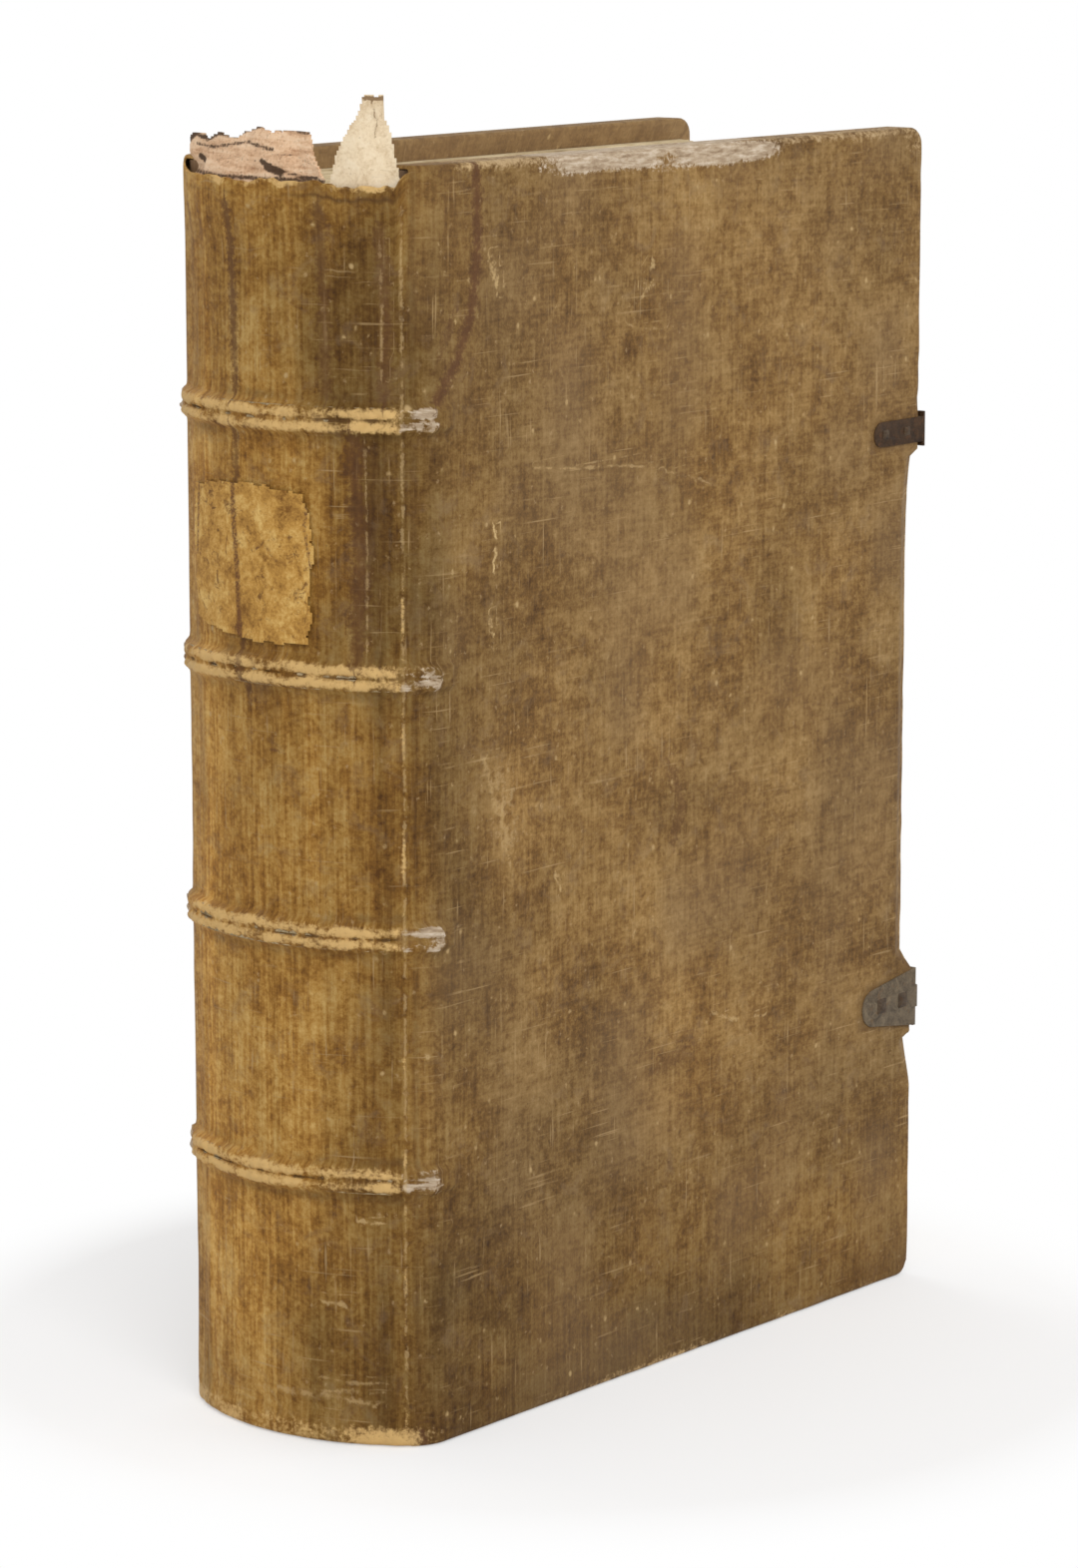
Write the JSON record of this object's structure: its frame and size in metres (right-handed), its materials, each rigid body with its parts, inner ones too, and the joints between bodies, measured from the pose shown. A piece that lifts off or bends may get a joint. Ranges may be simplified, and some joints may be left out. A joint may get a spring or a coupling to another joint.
{
  "type": "antique leather book",
  "caption": "Old folio with worn leather over wooden boards, raised spine bands, a torn head, a paper spine label and catch plates; both covers open.",
  "frame": {"origin": "middle of the book's footprint, on the surface that it stands on", "axes": "+Z from tail to head, +X from spine to fore-edge, the front cover faces -Y"},
  "size_m": [0.2424, 0.0936, 0.3585],
  "materials": {
    "leaves": "matte",
    "hemp_cord": "matte",
    "leather": "matte",
    "flesh_side_leather": "matte",
    "vellum": "matte",
    "label_paper": "matte",
    "board_wood": "matte",
    "pastedown_paper": "matte",
    "peg_wood": "matte",
    "dark_metal": "matte",
    "grey_metal": "matte"
  },
  "bodies": {
    "book_block": {"text_block": "leaves", "sewing_cords": "hemp_cord", "spine_leather": "leather", "tail_endband": "hemp_cord", "torn_head_turn_in": "flesh_side_leather", "vellum_flap": "vellum", "spine_label": "label_paper"},
    "front_cover": {"front_board": "board_wood", "front_cover_leather": "leather", "front_pastedown": "pastedown_paper", "front_slips": "hemp_cord", "front_pegs": "peg_wood", "upper_catch_plate": "dark_metal", "lower_catch_plate": "grey_metal", "catch_plate_nails": "grey_metal"},
    "rear_cover": {"rear_board": "board_wood", "rear_cover_leather": "leather", "rear_pastedown": "pastedown_paper", "rear_slips": "hemp_cord", "rear_pegs": "peg_wood"}
  },
  "joints": [
    {"name": "front_cover_hinge", "type": "hinge", "parent": "book_block", "child": "front_cover", "pos_m": [-0.10412, -0.03993, 0.17], "axis": [0, 0, -1], "range_deg": [0, 110]},
    {"name": "rear_cover_hinge", "type": "hinge", "parent": "book_block", "child": "rear_cover", "pos_m": [-0.10812, 0.03327, 0.17], "axis": [0, 0, 1], "range_deg": [0, 110]}
  ]
}
